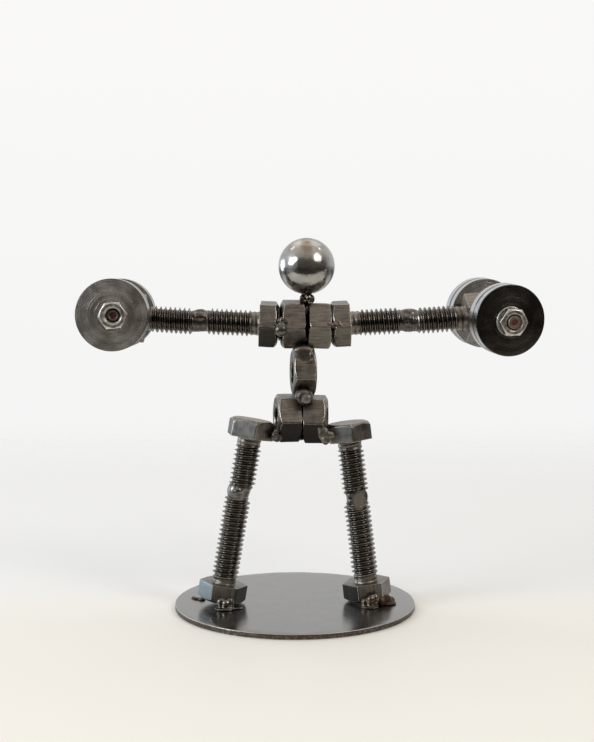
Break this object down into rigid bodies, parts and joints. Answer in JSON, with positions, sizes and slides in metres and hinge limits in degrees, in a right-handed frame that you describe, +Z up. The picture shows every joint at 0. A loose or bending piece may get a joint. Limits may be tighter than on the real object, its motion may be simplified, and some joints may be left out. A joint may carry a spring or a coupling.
{
  "type": "figurine",
  "caption": "Welded scrap-metal weightlifter on a round plate: hex bolt limbs, hex nut trunk, ball head, and a stack of discs as the weight in each hand.",
  "frame": {"origin": "centre of the round base plate's underside, on the plane the figure stands on", "axes": "+Z up; the figure faces -Y; +X to the viewer's right, the viewer facing the figure; the arms run along X"},
  "size_m": [0.137, 0.0726, 0.1112],
  "materials": {
    "bolt_steel": "dark brown-grey mill finish, brushed along the flats",
    "nut_steel": "dark brown-grey mill finish, brushed along the flats",
    "ball_steel": "polished, lightly tarnished",
    "disc_steel": "turned face, satin",
    "disc_steel_dark": "blackened face, fine scratches, bright turned edge",
    "plate_steel": "satin grey sheet",
    "zinc_steel": "bright zinc plate, lightly worn",
    "rusty_steel": "rusty thread end",
    "weld_bead": "lumpy melted steel, shiny in spots"
  },
  "bodies": {
    "root": {"base_plate": "plate_steel", "belly_weld": "weld_bead", "chest_nut_left": "nut_steel", "chest_nut_right": "nut_steel", "chest_weld_left": "weld_bead", "chest_weld_rear": "weld_bead", "chest_weld_right": "weld_bead", "elbow_weld_left": "weld_bead", "elbow_weld_right": "weld_bead", "foot_weld_left_front": "weld_bead", "foot_weld_left_side": "weld_bead", "foot_weld_right_front": "weld_bead", "foot_weld_right_side": "weld_bead", "forearm_bolt_left": "bolt_steel", "forearm_bolt_right": "bolt_steel", "head_ball": "ball_steel", "hip_weld_left": "weld_bead", "hip_weld_right": "weld_bead", "knee_weld_left": "weld_bead", "knee_weld_right": "weld_bead", "neck_weld": "weld_bead", "pelvis_nut_left": "nut_steel", "pelvis_nut_right": "nut_steel", "pelvis_weld_rear": "weld_bead", "shin_bolt_left": "bolt_steel", "shin_bolt_right": "bolt_steel", "thigh_bolt_left": "bolt_steel", "thigh_bolt_right": "bolt_steel", "upper_arm_bolt_left": "bolt_steel", "upper_arm_bolt_right": "bolt_steel", "waist_nut": "nut_steel", "waist_weld": "weld_bead", "weight_disc_left_front_inner": "disc_steel", "weight_disc_left_front_outer": "disc_steel", "weight_disc_left_rear_inner": "disc_steel", "weight_disc_left_rear_outer": "disc_steel", "weight_disc_right_front_inner": "disc_steel", "weight_disc_right_front_outer": "disc_steel_dark", "weight_disc_right_rear_inner": "disc_steel", "weight_disc_right_rear_outer": "disc_steel", "weight_nut_left_front": "zinc_steel", "weight_nut_left_rear": "zinc_steel", "weight_nut_right_front": "zinc_steel", "weight_nut_right_rear": "zinc_steel", "weight_screw_left": "rusty_steel", "weight_screw_right": "rusty_steel", "weight_washer_right": "zinc_steel"}
  },
  "joints": []
}
